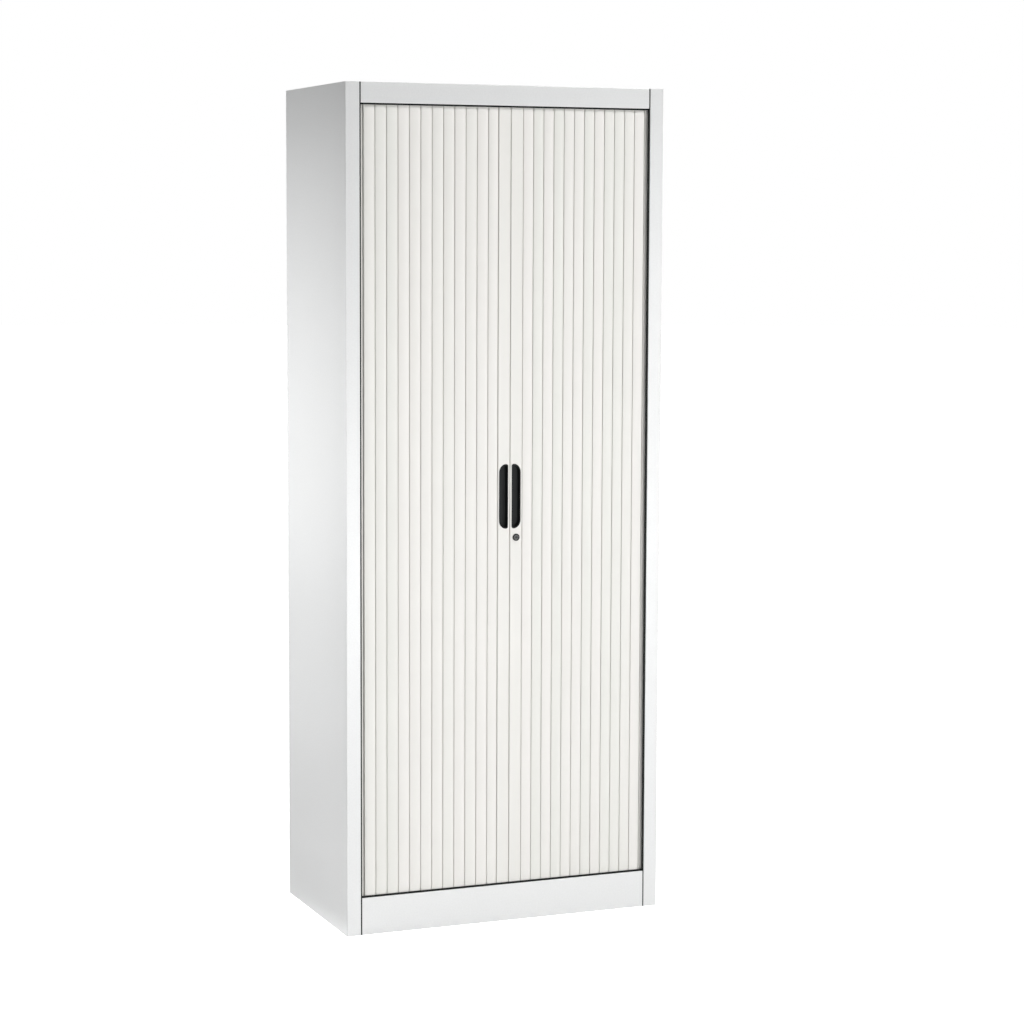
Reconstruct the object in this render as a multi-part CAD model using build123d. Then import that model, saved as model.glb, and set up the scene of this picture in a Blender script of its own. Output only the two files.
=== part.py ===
from build123d import *
import math
import os

# Millimetres. The origin is on the floor under the middle of the cabinet, +Z is up and the front faces -Y.

# Overall size
cabinet_width = 800.0
cabinet_depth = 440.0
cabinet_height = 1980.0

# Sheet steel
carcass_sheet = 1.0
lining_sheet = 0.8
fold_radius = 1.5
lining_fold_radius = 1.3

# Face frame: two stiles, the fascia above the doors and the plinth below
stile_width = 34.5
stile_return = 6.5
rear_flange = 20.0
fascia_height = 47.0
plinth_height = 88.0
plinth_foot = 15.0
hem_depth = 4.0
hem_height = 8.0
seal_width = 3.0
seal_recess = 0.5
seal_edge_radius = 0.4

# Decks: the floor and the ceiling of the inside, which sit against the hems
deck_flange = 24.0
top_flange = 24.0
back_floor_gap = 3.0
notch_clearance = 0.3

# Linings beside the shelves, and their rows of slots
cavity_width = 28.0
lining_front_setback = 55.0
lining_flange = 9.0
slot_pitch = 37.5
slot_height = 14.0
slot_width = 4.0
slot_inset = 60.0

# Shelves and the clips that carry them
shelf_count = 4
slots_per_shelf = 10
shelf_height = 30.0
shelf_lip = 12.0
shelf_clearance = 0.5
clip_sheet = 1.5
clip_width = 14.0
clip_reach = 12.0
clip_upstand = 16.0
clip_fit = 0.3
clip_hook = 5.0

# Tracks that the slats run in
track_wall = 2.0
track_base = 2.0
track_lip = 4.0
track_standoff = 2.8
track_end_gap = 10.0
path_radius = 36.6
slat_play = 0.4
corner_ease = 3.2
corner_run = 7.0
buffer_length = 12.0

# Countersunk screws that hold the tracks
screw_radius = 1.5
screw_head_radius = 2.9
screw_head_height = 1.6
screw_length = 8.0
screw_fit = 0.1
front_screw_count = 5
front_screw_end = 53.7
side_screw_count = 2
side_screw_pitch = 160.0
side_screw_first = 60.0

# Tambour slats
slat_recess = 7.0
slat_thickness = 7.0
slat_crown = 1.8
slat_edge_radius = 1.2
slat_gap = 0.8
slat_end_play = 0.4
slat_count = 12
corner_slat_count = 3
tongue_length = 2.6
tongue_thickness = 2.0
tongue_cover = 0.9
tongue_fit = 0.25

# Leading slats, where the two leaves meet
leading_width = 31.0
leading_edge_radius = 2.0
left_end_pitch = 25.4
meeting_offset = 10.7
meeting_gap = 1.5

# Recessed handles
handle_width = 22.8
handle_height = 153.0
handle_centre = 1020.0
handle_edge = 4.6
handle_outer_radius = 17.0
handle_inner_radius = 5.0
handle_rim = 1.2
handle_rim_proud = 0.8
handle_wall = 1.5
handle_depth = 11.0
handle_fit = 0.2

# Lock in the right leading slat
lock_drop = 12.75
lock_edge = 16.0
lock_flange_radius = 8.75
lock_flange_proud = 2.5
lock_flange_round = 0.8
lock_barrel_radius = 7.0
lock_barrel_length = 13.0
plug_radius = 5.2
plug_fit = 0.05
plug_proud = 0.3
keyway_width = 1.4
keyway_height = 7.0
keyway_depth = 9.0
drive_side = 6.0
drive_length = 3.6
hook_sheet = 2.5
hook_gap = 0.2
hook_fit = 0.05
hook_hub_radius = 5.5
hook_reach = 23.5
hook_claw = 4.5
hook_arm_half = 4.0
hook_drop = 12.0

# Striker on the back of the left leading slat
striker_sheet = 1.5
striker_lip = 2.0
striker_lip_gap = 0.3
striker_depth = 10.0
striker_height = 34.0
striker_margin = 10.0
striker_clearance = 0.4

# Levelling feet
foot_inset = 60.0
foot_rod_radius = 4.9
foot_thread_fit = 0.05
foot_rod_gap = 5.0
foot_pad_radius = 18.0
foot_pad_height = 6.0
foot_pad_taper = 3.0
foot_lift = 2.0
foot_slot_width = 1.6
foot_slot_depth = 3.0
boss_radius = 10.0
boss_height = 30.0
access_radius = 4.5

# Holes in the back for fixing to a wall
wall_hole_radius = 4.0
wall_hole_spacing = 600.0
wall_hole_drop = 80.0

# Levels and planes worked out from the sizes above
half_width = cabinet_width / 2
front_y = -cabinet_depth / 2
rear_y = cabinet_depth / 2
wall_x = half_width - carcass_sheet
stile_x = half_width - stile_width
face_x = stile_x - seal_width
seal_back_y = front_y + stile_return
notch_x = face_x - notch_clearance
notch_y = seal_back_y + notch_clearance
hem_y = front_y + hem_depth
deck_front_y = front_y + carcass_sheet
fascia_z = cabinet_height - fascia_height
floor_level = plinth_height - hem_height
floor_under = floor_level - carcass_sheet
ceiling_z = fascia_z + hem_height
fold_relief = fold_radius - carcass_sheet + notch_clearance
through = 4 * carcass_sheet
back_y = rear_y - carcass_sheet
inside_back_y = back_y - carcass_sheet
lining_x = wall_x - cavity_width
lining_y = front_y + lining_front_setback
slat_face_y = front_y + slat_recess
slat_back_y = slat_face_y + slat_thickness
slat_mid_y = slat_face_y + slat_thickness / 2
slat_bottom = floor_level + track_base + slat_end_play
slat_top = ceiling_z - track_base - slat_end_play
lower_lip_z = plinth_height + track_lip
upper_lip_z = fascia_z - track_lip
flat_half = wall_x - track_standoff - track_wall - slat_play - slat_thickness / 2 - path_radius
arc_y = slat_mid_y + path_radius
run_x = flat_half + path_radius
hinge_radius = path_radius - slat_thickness / 2
hinge_x = flat_half + hinge_radius
track_end_y = inside_back_y - track_end_gap
left_pitch = (flat_half + meeting_offset - leading_width - left_end_pitch) / (slat_count - 1)
right_pitch = (flat_half - meeting_offset - leading_width) / slat_count
left_pitches = [left_pitch] * (slat_count - 1) + [left_end_pitch]
right_pitches = [right_pitch] * slat_count
shelf_spacing = slot_pitch * slots_per_shelf
front_screw_pitch = 2 * (flat_half - front_screw_end) / (front_screw_count - 1)
lock_x = meeting_offset + lock_edge
lock_height = handle_centre - handle_height / 2 - lock_drop - lock_flange_radius
lock_front_y = slat_face_y - lock_flange_proud
lock_rear_y = slat_face_y + lock_barrel_length
left_handle_x = meeting_offset - handle_edge - handle_width
foot_rod_top = floor_under - foot_rod_gap


def block(x0, x1, y0, y1, z0, z1):
    """A box between two corners."""
    size = Box(x1 - x0, y1 - y0, z1 - z0)
    return Pos((x0 + x1) / 2, (y0 + y1) / 2, (z0 + z1) / 2) * size


def both_sides(shape):
    """A shape on the left, and its mirror image on the right."""
    return shape + mirror(shape, about=Plane.YZ)


def folded(points, sheet, radius, plane, length):
    """A folded sheet: its outside line, thickened to the left of travel and drawn along the plane's normal."""
    line = FilletPolyline(*points, radius=radius)
    strip = offset(line, amount=sheet, side=Side.LEFT)
    return extrude(plane * make_face(strip), amount=length)


def across(x):
    """A side view's drawing plane: across is +Y, up is +Z, and the normal is +X from the given place."""
    return Plane((x, 0, 0), x_dir=(0, 1, 0), z_dir=(1, 0, 0))


def plan(z):
    """A plan view's drawing plane at a height."""
    return Plane.XY.offset(z)


# Carcass


def side_panel():
    """Left side: outer wall, front stile with its return, and rear flange, folded from one sheet."""
    points = [
        (-half_width + rear_flange, rear_y),
        (-half_width, rear_y),
        (-half_width, front_y),
        (-stile_x, front_y),
        (-stile_x, front_y + stile_return),
    ]
    return folded(points, carcass_sheet, fold_radius, plan(0), cabinet_height)


def deck_outline():
    """Plan of a deck: full width behind the stiles, and stepped forward between them."""
    points = [
        (-wall_x, notch_y),
        (-notch_x, notch_y),
        (-notch_x, deck_front_y),
        (notch_x, deck_front_y),
        (notch_x, notch_y),
        (wall_x, notch_y),
        (wall_x, inside_back_y),
        (-wall_x, inside_back_y),
    ]
    return make_face(Polyline(*points, close=True))


def top_panel():
    """Top sheet with the fascia folded down at the front, and flanges at the sides and the back."""
    points = [
        (back_y, cabinet_height),
        (front_y, cabinet_height),
        (front_y, fascia_z),
        (hem_y, fascia_z),
        (hem_y, fascia_z + hem_height),
    ]
    fascia = folded(points, carcass_sheet, fold_radius, across(-face_x), 2 * face_x)
    low = cabinet_height - top_flange
    under = cabinet_height - carcass_sheet
    cap_x = stile_x + carcass_sheet + notch_clearance
    outline = [
        (-wall_x, deck_front_y),
        (-cap_x, deck_front_y),
        (-cap_x, notch_y),
        (-face_x, notch_y),
        (-face_x, back_y),
        (-wall_x, back_y),
    ]
    plate = make_face(Polyline(*outline, close=True))
    plate = fillet(plate.vertices().group_by(Axis.X)[0], fold_relief)
    wing = extrude(plan(under) * plate, amount=carcass_sheet)
    wing += block(-wall_x, -wall_x + carcass_sheet, notch_y, inside_back_y, low, under)
    rear_x = half_width - rear_flange
    rear = block(-rear_x, rear_x, back_y, rear_y, low, cabinet_height)
    return fascia + both_sides(wing) + rear


def ceiling_panel():
    """Inner ceiling, with flanges turned up at both ends and at the back."""
    deck = extrude(plan(ceiling_z) * deck_outline(), amount=carcass_sheet)
    low = ceiling_z + carcass_sheet
    high = cabinet_height - top_flange - notch_clearance
    end = block(-wall_x, -wall_x + carcass_sheet, notch_y, inside_back_y, low, high)
    rear = block(-wall_x, wall_x, inside_back_y - carcass_sheet, inside_back_y, low, high)
    return deck + both_sides(end) + rear


def foot_places():
    """Plan positions of the levelling feet."""
    x = half_width - foot_inset
    y = cabinet_depth / 2 - foot_inset
    return {
        "front_left": (-x, -y),
        "front_right": (x, -y),
        "rear_left": (-x, y),
        "rear_right": (x, y),
    }


def base_panel():
    """Cabinet floor, with flanges turned down all round and a hole over each levelling foot."""
    low = floor_under - deck_flange
    deck = extrude(plan(floor_under) * deck_outline(), amount=carcass_sheet)
    end = block(-wall_x, -wall_x + carcass_sheet, notch_y, inside_back_y, low, floor_under)
    rear = block(-wall_x, wall_x, inside_back_y - carcass_sheet, inside_back_y, low, floor_under)
    front = block(-notch_x, notch_x, deck_front_y, deck_front_y + carcass_sheet, low, floor_under)
    floor = deck + both_sides(end) + rear + front
    for x, y in foot_places().values():
        floor -= Pos(x, y, floor_level) * Cylinder(access_radius, through)
    return floor


def plinth():
    """Front board below the doors, with a hem behind its top edge and a foot along the floor."""
    points = [
        (hem_y, plinth_height - hem_height),
        (hem_y, plinth_height),
        (front_y, plinth_height),
        (front_y, 0),
        (front_y + plinth_foot, 0),
    ]
    return folded(points, carcass_sheet, fold_radius, across(-face_x), 2 * face_x)


def back_panel():
    """Flat back, inside the rear flanges, with two holes for fixing to a wall."""
    high = cabinet_height - carcass_sheet
    half = wall_x - fold_relief
    sheet = block(-half, half, inside_back_y, back_y, back_floor_gap, high)
    for x in (-wall_hole_spacing / 2, wall_hole_spacing / 2):
        hole = Cylinder(wall_hole_radius, through, rotation=(90, 0, 0))
        sheet -= Pos(x, back_y, cabinet_height - wall_hole_drop) * hole
    return sheet


def edge_seal():
    """Left black strip between the stile and what is beside it, as tall as the cabinet."""
    strip = block(-stile_x, -face_x, front_y + seal_recess, seal_back_y, 0, cabinet_height)
    front_edges = strip.edges().filter_by(Axis.Z).group_by(Axis.Y)[0]
    return fillet(front_edges, seal_edge_radius)


# Inside


def hook_level(top):
    """Height of the middle of a clip's hook, for a shelf whose upper face is at a height."""
    return top - shelf_height + clip_upstand / 2


def slot_levels():
    """Heights of the middles of the slots in a lining, one for each place that a shelf can hang at."""
    count = int((ceiling_z - floor_level) // slot_pitch)
    return [hook_level(floor_level + slot_pitch * k) for k in range(1, count + 1)]


def slot_columns():
    """Positions from front to back of the two columns of slots."""
    return (lining_y + slot_inset, inside_back_y - slot_inset)


def lining():
    """Left inner wall, flanged towards the cavity where the slats run, with slots for the shelf clips."""
    points = [
        (-lining_x - lining_flange, lining_y),
        (-lining_x, lining_y),
        (-lining_x, inside_back_y),
        (-lining_x - lining_flange, inside_back_y),
    ]
    wall = folded(points, lining_sheet, lining_fold_radius, plan(floor_level), ceiling_z - floor_level)
    slot = Box(through, slot_width, slot_height)
    places = [Pos(-lining_x, y, z) for y in slot_columns() for z in slot_levels()]
    return wall - [place * slot for place in places]


def shelf_top(number):
    """Height of a shelf's upper face."""
    return floor_level + shelf_spacing * number


def shelf(number):
    """Steel shelf: a tray turned upside down, with a lip folded back under its front edge."""
    top = shelf_top(number)
    low = top - shelf_height
    x = lining_x - clip_sheet - clip_fit
    y0 = lining_y + shelf_clearance
    y1 = inside_back_y - shelf_clearance
    tray = block(-x, x, y0, y1, low, top)
    hollow_x = x - carcass_sheet
    tray -= block(-hollow_x, hollow_x, y0 + carcass_sheet, y1 - carcass_sheet, low, top - carcass_sheet)
    lip = block(-hollow_x, hollow_x, y0 + carcass_sheet, y0 + shelf_lip, low, low + carcass_sheet)
    return tray + lip


def shelf_clip(y, top):
    """Left clip: a plate on the lining, a tab under the shelf, and a hook through the slot."""
    z = top - shelf_height
    y0 = y - clip_width / 2
    y1 = y + clip_width / 2
    plate = block(-lining_x, -lining_x + clip_sheet, y0, y1, z - clip_sheet, z + clip_upstand)
    tab = block(-lining_x, -lining_x + clip_reach, y0, y1, z - clip_sheet, z)
    half_hook = slot_width / 2 - clip_fit
    half_slot = slot_height / 2 - clip_fit
    hook_z = hook_level(top)
    hook = block(
        -lining_x - clip_hook,
        -lining_x,
        y - half_hook,
        y + half_hook,
        hook_z - half_slot,
        hook_z + half_slot,
    )
    return plate + tab + hook


def shelf_clips():
    """Four clips for each shelf, two on each lining."""
    clips = []
    for number in range(1, shelf_count + 1):
        for y in slot_columns():
            clip = shelf_clip(y, shelf_top(number))
            clips += [clip, mirror(clip, about=Plane.YZ)]
    return Compound(children=clips)


# Tracks


def track_plan(margin):
    """Plan of the groove that the slats run in, grown by a margin. The corners are eased on the inside."""
    near = slat_thickness / 2 + slat_play + margin
    front = Pos(0, slat_mid_y) * Rectangle(2 * flat_half, 2 * near)
    outer = path_radius + near
    inner = path_radius - near - corner_ease
    ring = Circle(outer) - Circle(inner)
    corner = Pos(-flat_half, arc_y) * (ring & Pos(-outer / 2, -outer / 2) * Rectangle(outer, outer))
    run_length = track_end_y + margin - arc_y
    run = Pos(-run_x, arc_y + run_length / 2) * Rectangle(2 * near, run_length)
    ease_width = 2 * near + corner_ease
    ease_length = corner_run + margin
    ease = Pos(-run_x + corner_ease / 2, arc_y + ease_length / 2) * Rectangle(ease_width, ease_length)
    side = corner + ease + run
    return front + side + mirror(side, about=Plane.YZ)


def screw_places():
    """Plan positions of the screws along a track."""
    first = -front_screw_pitch * (front_screw_count - 1) / 2
    places = [(first + front_screw_pitch * k, slat_mid_y) for k in range(front_screw_count)]
    for k in range(side_screw_count):
        y = arc_y + side_screw_first + side_screw_pitch * k
        places += [(-run_x, y), (run_x, y)]
    return places


def countersink(grow):
    """A countersunk screw pointing down, its head's face at zero, grown by a fit."""
    head = Cone(
        screw_radius + grow,
        screw_head_radius + grow,
        screw_head_height,
        align=(Align.CENTER, Align.CENTER, Align.MAX),
    )
    shank = Cylinder(screw_radius + grow, screw_length, align=(Align.CENTER, Align.CENTER, Align.MAX))
    return head + shank


def stile_relief(low, high):
    """What is taken out of a track so that it clears the seals and the stiles' returns."""
    x1 = stile_x + carcass_sheet + notch_clearance
    return both_sides(block(-x1, -notch_x, front_y, notch_y, low, high))


def bottom_track():
    """Black channel on the cabinet floor. Its front wall shows above the plinth."""
    body = extrude(plan(floor_level) * track_plan(track_wall), amount=lower_lip_z - floor_level)
    seat = floor_level + track_base
    body -= extrude(plan(seat) * track_plan(0), amount=lower_lip_z - seat)
    for x, y in screw_places():
        body -= Pos(x, y, seat) * countersink(screw_fit)
    return body - stile_relief(floor_level, lower_lip_z)


def top_track():
    """Black channel under the inner ceiling. Its front wall shows below the fascia."""
    body = extrude(plan(upper_lip_z) * track_plan(track_wall), amount=ceiling_z - upper_lip_z)
    seat = ceiling_z - track_base
    body -= extrude(plan(upper_lip_z) * track_plan(0), amount=seat - upper_lip_z)
    for x, y in screw_places():
        body -= Pos(x, y, seat) * Rot(180, 0, 0) * countersink(screw_fit)
    return body - stile_relief(upper_lip_z, ceiling_z)


def track_screws():
    """Countersunk screws that hold both tracks to the decks."""
    screws = []
    for x, y in screw_places():
        screws.append(Pos(x, y, floor_level + track_base) * countersink(0))
        screws.append(Pos(x, y, ceiling_z - track_base) * Rot(180, 0, 0) * countersink(0))
    return Compound(children=screws)


def drilled(deck, level):
    """A deck with a clearance hole for each track screw."""
    for x, y in screw_places():
        deck -= Pos(x, y, level) * Cylinder(screw_radius + screw_fit, through)
    return deck


def track_buffers():
    """Rubber blocks that close the four ends of the tracks."""
    half = slat_thickness / 2
    y0 = track_end_y - buffer_length
    low = floor_level + track_base
    lower = block(-run_x - half, -run_x + half, y0, track_end_y, low, lower_lip_z)
    upper = block(-run_x - half, -run_x + half, y0, track_end_y, upper_lip_z, ceiling_z - track_base)
    blocks = [lower, upper]
    blocks += [mirror(one, about=Plane.YZ) for one in blocks]
    return Compound(children=blocks)


# Slats


def slat_section(width, crown, radius):
    """Section of a slat: its trailing edge is at zero across, and its front at zero in depth."""
    front = ThreePointArc((0, crown), (width / 2, 0), (width, crown))
    rest = Polyline((width, crown), (width, slat_thickness), (0, slat_thickness), (0, crown))
    section = make_face(front + rest)
    return fillet(section.vertices().group_by(Axis.Y)[0], radius)


def tongue(at, length):
    """Section of a tongue that stands out of a slat's trailing edge."""
    y = slat_thickness - tongue_cover - tongue_thickness / 2
    return Pos(at - length / 2, y) * Rectangle(length, tongue_thickness)


def pocket(at, depth):
    """Section of the groove in a slat's edge that takes the next slat's tongue."""
    y = slat_thickness - tongue_cover - tongue_thickness / 2
    return Pos(at, y) * Rectangle(2 * depth, tongue_thickness + 2 * tongue_fit)


def raised(section):
    """A slat drawn up from its section, from its lower to its upper end."""
    return extrude(plan(slat_bottom) * section, amount=slat_top - slat_bottom)


def ordinary_slat(pitch, hooked):
    """A slat with its trailing edge at zero, with or without a tongue there."""
    width = pitch - slat_gap
    section = slat_section(width, slat_crown, slat_edge_radius)
    section -= pocket(width, tongue_length - slat_gap + tongue_fit)
    if hooked:
        section += tongue(0, tongue_length)
    return raised(section)


def leaf_slats(pitches):
    """The ordinary slats of a leaf that runs to the left, from the corner to the leading slat."""
    slats = []
    edge = -flat_half
    for number, pitch in enumerate(pitches):
        slat = ordinary_slat(pitch, hooked=number > 0)
        slats.append(Pos(edge + slat_gap / 2, slat_face_y, 0) * slat)
        edge += pitch
    return slats


def corner_joints(pitch):
    """Places where the backs of a left leaf's slats meet, from the start of the corner to the side run."""
    step = 2 * math.asin(pitch / (2 * hinge_radius))
    x = -flat_half
    y = arc_y - hinge_radius
    joints = [(x, y)]
    for number in range(1, corner_slat_count + 1):
        angle = step * number
        if angle < math.pi / 2:
            x = -flat_half - hinge_radius * math.sin(angle)
            y = arc_y - hinge_radius * math.cos(angle)
        else:
            y += math.sqrt(pitch**2 - (hinge_x + x) ** 2)
            x = -hinge_x
        joints.append((x, y))
    return joints


def corner_slats(pitch):
    """Slats of a left leaf that stand in the corner and in the side run."""
    section = slat_section(pitch - slat_gap, slat_crown, slat_edge_radius)
    slat = Pos(slat_gap / 2, -slat_thickness, 0) * raised(section)
    slats = []
    joints = corner_joints(pitch)
    for (x1, y1), (x0, y0) in zip(joints, joints[1:]):
        turn = math.degrees(math.atan2(y1 - y0, x1 - x0))
        slats.append(Pos(x0, y0, 0) * Rot(0, 0, turn) * slat)
    return Compound(children=slats)


def leading_section(meeting_lip):
    """Section of a leading slat that closes towards the right, with a lip or a groove at the meeting line."""
    gap = (slat_gap + meeting_gap) / 2
    width = leading_width - gap
    outline = Pos(width / 2, slat_thickness / 2) * Rectangle(width, slat_thickness)
    section = fillet(outline.vertices().group_by(Axis.Y)[0], leading_edge_radius)
    section += tongue(0, tongue_length)
    if meeting_lip:
        return section + tongue(width + tongue_length, tongue_length)
    return section - pocket(width, tongue_length - meeting_gap + tongue_fit)


def left_leading_slat():
    """Leading slat of the left leaf, cut for its handle."""
    edge = meeting_offset - leading_width + slat_gap / 2
    slat = Pos(edge, slat_face_y, 0) * raised(leading_section(True))
    return slat - handle_cut(left_handle_x)


def right_leading_slat():
    """Leading slat of the right leaf, cut for its handle and its lock."""
    edge = meeting_offset + leading_width - slat_gap / 2
    slat = mirror(raised(leading_section(False)), about=Plane.YZ)
    slat = Pos(edge, slat_face_y, 0) * slat
    slat -= mirrored_handle(handle_cut)
    return slat - lock_cylinder(lock_barrel_radius + handle_fit, slat_face_y, slat_back_y)


# Handles


def handle_outline(inset):
    """Outline of a left handle, moved in by an inset. Its corners are rounder away from the meeting line."""
    width = handle_width - 2 * inset
    height = handle_height - 2 * inset
    outline = Pos(handle_width / 2, 0) * Rectangle(width, height)
    corners = outline.vertices().group_by(Axis.X)
    outline = fillet(corners[0], handle_outer_radius - inset)
    inner = outline.vertices().group_by(Axis.X)[-1]
    return fillet(inner, handle_inner_radius - inset)


def handle_prism(x, inset, y0, y1):
    """A left handle's outline between two depths."""
    plane = Plane((x, y1, handle_centre), x_dir=(1, 0, 0), z_dir=(0, -1, 0))
    return extrude(plane * handle_outline(inset), amount=y1 - y0)


def handle_cut(x):
    """Hole through a leading slat for the handle's cup."""
    return handle_prism(x, handle_rim - handle_fit, slat_face_y, slat_back_y)


def handle_cup(x):
    """Black cup with a rim that lies on the slat's face and a hollow for the fingers."""
    floor_y = slat_face_y + handle_depth
    rim = handle_prism(x, 0, slat_face_y - handle_rim_proud, slat_face_y)
    body = handle_prism(x, handle_rim, slat_face_y, floor_y)
    hollow = handle_prism(
        x,
        handle_rim + handle_wall,
        slat_face_y - handle_rim_proud,
        floor_y - handle_wall,
    )
    return rim + body - hollow


def mirrored_handle(make):
    """A handle shape for the right leaf, made from the left one about the meeting line."""
    middle = Plane((meeting_offset, 0, 0), x_dir=(0, 1, 0), z_dir=(1, 0, 0))
    return mirror(make(left_handle_x), about=middle)


# Lock


def lock_cylinder(radius, y0, y1):
    """A cylinder on the lock's axis between two depths."""
    rod = Cylinder(radius, y1 - y0, rotation=(90, 0, 0))
    return Pos(lock_x, (y0 + y1) / 2, lock_height) * rod


def lock_housing():
    """Barrel with a round flange on the slat's face, bored for the plug."""
    flange = lock_cylinder(lock_flange_radius, lock_front_y, slat_face_y)
    flange = fillet(flange.edges().group_by(Axis.Y)[0], lock_flange_round)
    barrel = lock_cylinder(lock_barrel_radius, slat_face_y, lock_rear_y)
    return flange + barrel - lock_cylinder(plug_radius + plug_fit, lock_front_y, lock_rear_y)


def lock_plug():
    """Turning plug with a keyway in front and a square drive behind."""
    front = lock_front_y - plug_proud
    plug = lock_cylinder(plug_radius, front, lock_rear_y)
    keyway = block(
        lock_x - keyway_width / 2,
        lock_x + keyway_width / 2,
        front,
        front + keyway_depth,
        lock_height - keyway_height / 2,
        lock_height + keyway_height / 2,
    )
    half = drive_side / 2
    drive = block(
        lock_x - half,
        lock_x + half,
        lock_rear_y,
        lock_rear_y + drive_length,
        lock_height - half,
        lock_height + half,
    )
    return plug - keyway + drive


def lock_hook():
    """Hook that stands upright when unlocked. Its claw points to the left leaf."""
    y0 = lock_rear_y + hook_gap
    y1 = y0 + hook_sheet
    hub = lock_cylinder(hook_hub_radius, y0, y1)
    arm = block(
        lock_x - hook_arm_half,
        lock_x + hook_arm_half,
        y0,
        y1,
        lock_height,
        lock_height + hook_reach + hook_claw,
    )
    claw = block(
        lock_x - hook_drop,
        lock_x,
        y0,
        y1,
        lock_height + hook_reach,
        lock_height + hook_reach + hook_claw,
    )
    half = drive_side / 2 + hook_fit
    hole = block(lock_x - half, lock_x + half, y0, y1, lock_height - half, lock_height + half)
    return hub + arm + claw - hole


def lock_striker():
    """Angle plate on the back of the left leading slat, with a lip that the hook's claw drops behind."""
    lip_x1 = lock_x - hook_reach + striker_lip_gap + striker_lip
    lip_x0 = lip_x1 - striker_lip
    top = lock_height - hook_arm_half - striker_clearance
    low = top - striker_height
    plate_x0 = lip_x0 - striker_margin
    plate = block(plate_x0, lip_x1, slat_back_y, slat_back_y + striker_sheet, low, top)
    lip = block(lip_x0, lip_x1, slat_back_y, slat_back_y + striker_depth, low, top)
    return plate + lip


# Levelling feet


def leveller_bosses():
    """Threaded bosses under the cabinet floor."""
    hung = (Align.CENTER, Align.CENTER, Align.MAX)
    ring = Cylinder(boss_radius, boss_height, align=hung)
    ring -= Cylinder(foot_rod_radius + foot_thread_fit, boss_height, align=hung)
    bosses = [Pos(x, y, floor_under) * ring for x, y in foot_places().values()]
    return Compound(children=bosses)


def levelling_foot(x, y):
    """Threaded rod with a screwdriver slot on top and a tapered pad below."""
    upright = (Align.CENTER, Align.CENTER, Align.MIN)
    rim = foot_pad_height - foot_pad_taper
    pad = Cylinder(foot_pad_radius, rim, align=upright)
    pad += Pos(0, 0, rim) * Cone(foot_pad_radius, boss_radius, foot_pad_taper, align=upright)
    rod = Cylinder(foot_rod_radius, foot_rod_top - foot_lift, align=upright)
    foot = Pos(x, y, foot_lift) * (pad + rod)
    half = foot_slot_width / 2
    return foot - block(
        x - foot_rod_radius,
        x + foot_rod_radius,
        y - half,
        y + half,
        foot_rod_top - foot_slot_depth,
        foot_rod_top,
    )


# Sub-parts by name


def sub_parts():
    """Every node of the cabinet, by name."""
    parts = {}
    parts["side_panel_left"] = side_panel()
    parts["side_panel_right"] = mirror(side_panel(), about=Plane.YZ)
    parts["top_panel"] = top_panel()
    parts["ceiling_panel"] = drilled(ceiling_panel(), ceiling_z)
    parts["base_panel"] = drilled(base_panel(), floor_level)
    parts["plinth"] = plinth()
    parts["back_panel"] = back_panel()
    parts["edge_seal_left"] = edge_seal()
    parts["edge_seal_right"] = mirror(edge_seal(), about=Plane.YZ)
    parts["lining_left"] = lining()
    parts["lining_right"] = mirror(lining(), about=Plane.YZ)
    for number in range(1, shelf_count + 1):
        parts[f"shelf_{number}"] = shelf(number)
    parts["shelf_clips"] = shelf_clips()
    parts["bottom_track"] = bottom_track()
    parts["top_track"] = top_track()
    parts["track_screws"] = track_screws()
    parts["track_buffers"] = track_buffers()
    parts["corner_slats_left"] = corner_slats(left_pitch)
    parts["corner_slats_right"] = mirror(corner_slats(right_pitch), about=Plane.YZ)
    for number, slat in enumerate(leaf_slats(left_pitches), 1):
        parts[f"left_slat_{number:02d}"] = slat
    for number, slat in enumerate(leaf_slats(right_pitches), 1):
        parts[f"right_slat_{number:02d}"] = mirror(slat, about=Plane.YZ)
    parts["left_leading_slat"] = left_leading_slat()
    parts["right_leading_slat"] = right_leading_slat()
    parts["left_handle_cup"] = handle_cup(left_handle_x)
    parts["right_handle_cup"] = mirrored_handle(handle_cup)
    parts["lock_housing"] = lock_housing()
    parts["lock_plug"] = lock_plug()
    parts["lock_hook"] = lock_hook()
    parts["lock_striker"] = lock_striker()
    parts["leveller_bosses"] = leveller_bosses()
    for place, (x, y) in foot_places().items():
        parts[f"foot_{place}"] = levelling_foot(x, y)
    return parts


os.makedirs("parts", exist_ok=True)
for node, shape in sub_parts().items():
    export_step(shape, f"parts/{node}.step")
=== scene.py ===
# %% [markdown]
# # A tambour door cabinet, dressed for a studio picture
# The cabinet's sheet steel, slats, tracks and lock come in as finished solids, each at its real size.
# Nothing here moves them. This lesson adds what a picture needs on top: paint, plastic and metal that
# look right close up, softly rounded mouldings where the eye rests, a floor, lights and a camera.
#
# Everything is in metres. The floor is at zero height, the front of the cabinet faces -Y, and +X is to
# the right of somebody who stands in front of it.

# %% Load the cabinet
import math
import random

import bmesh
import bpy
from mathutils import Matrix, Vector


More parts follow.
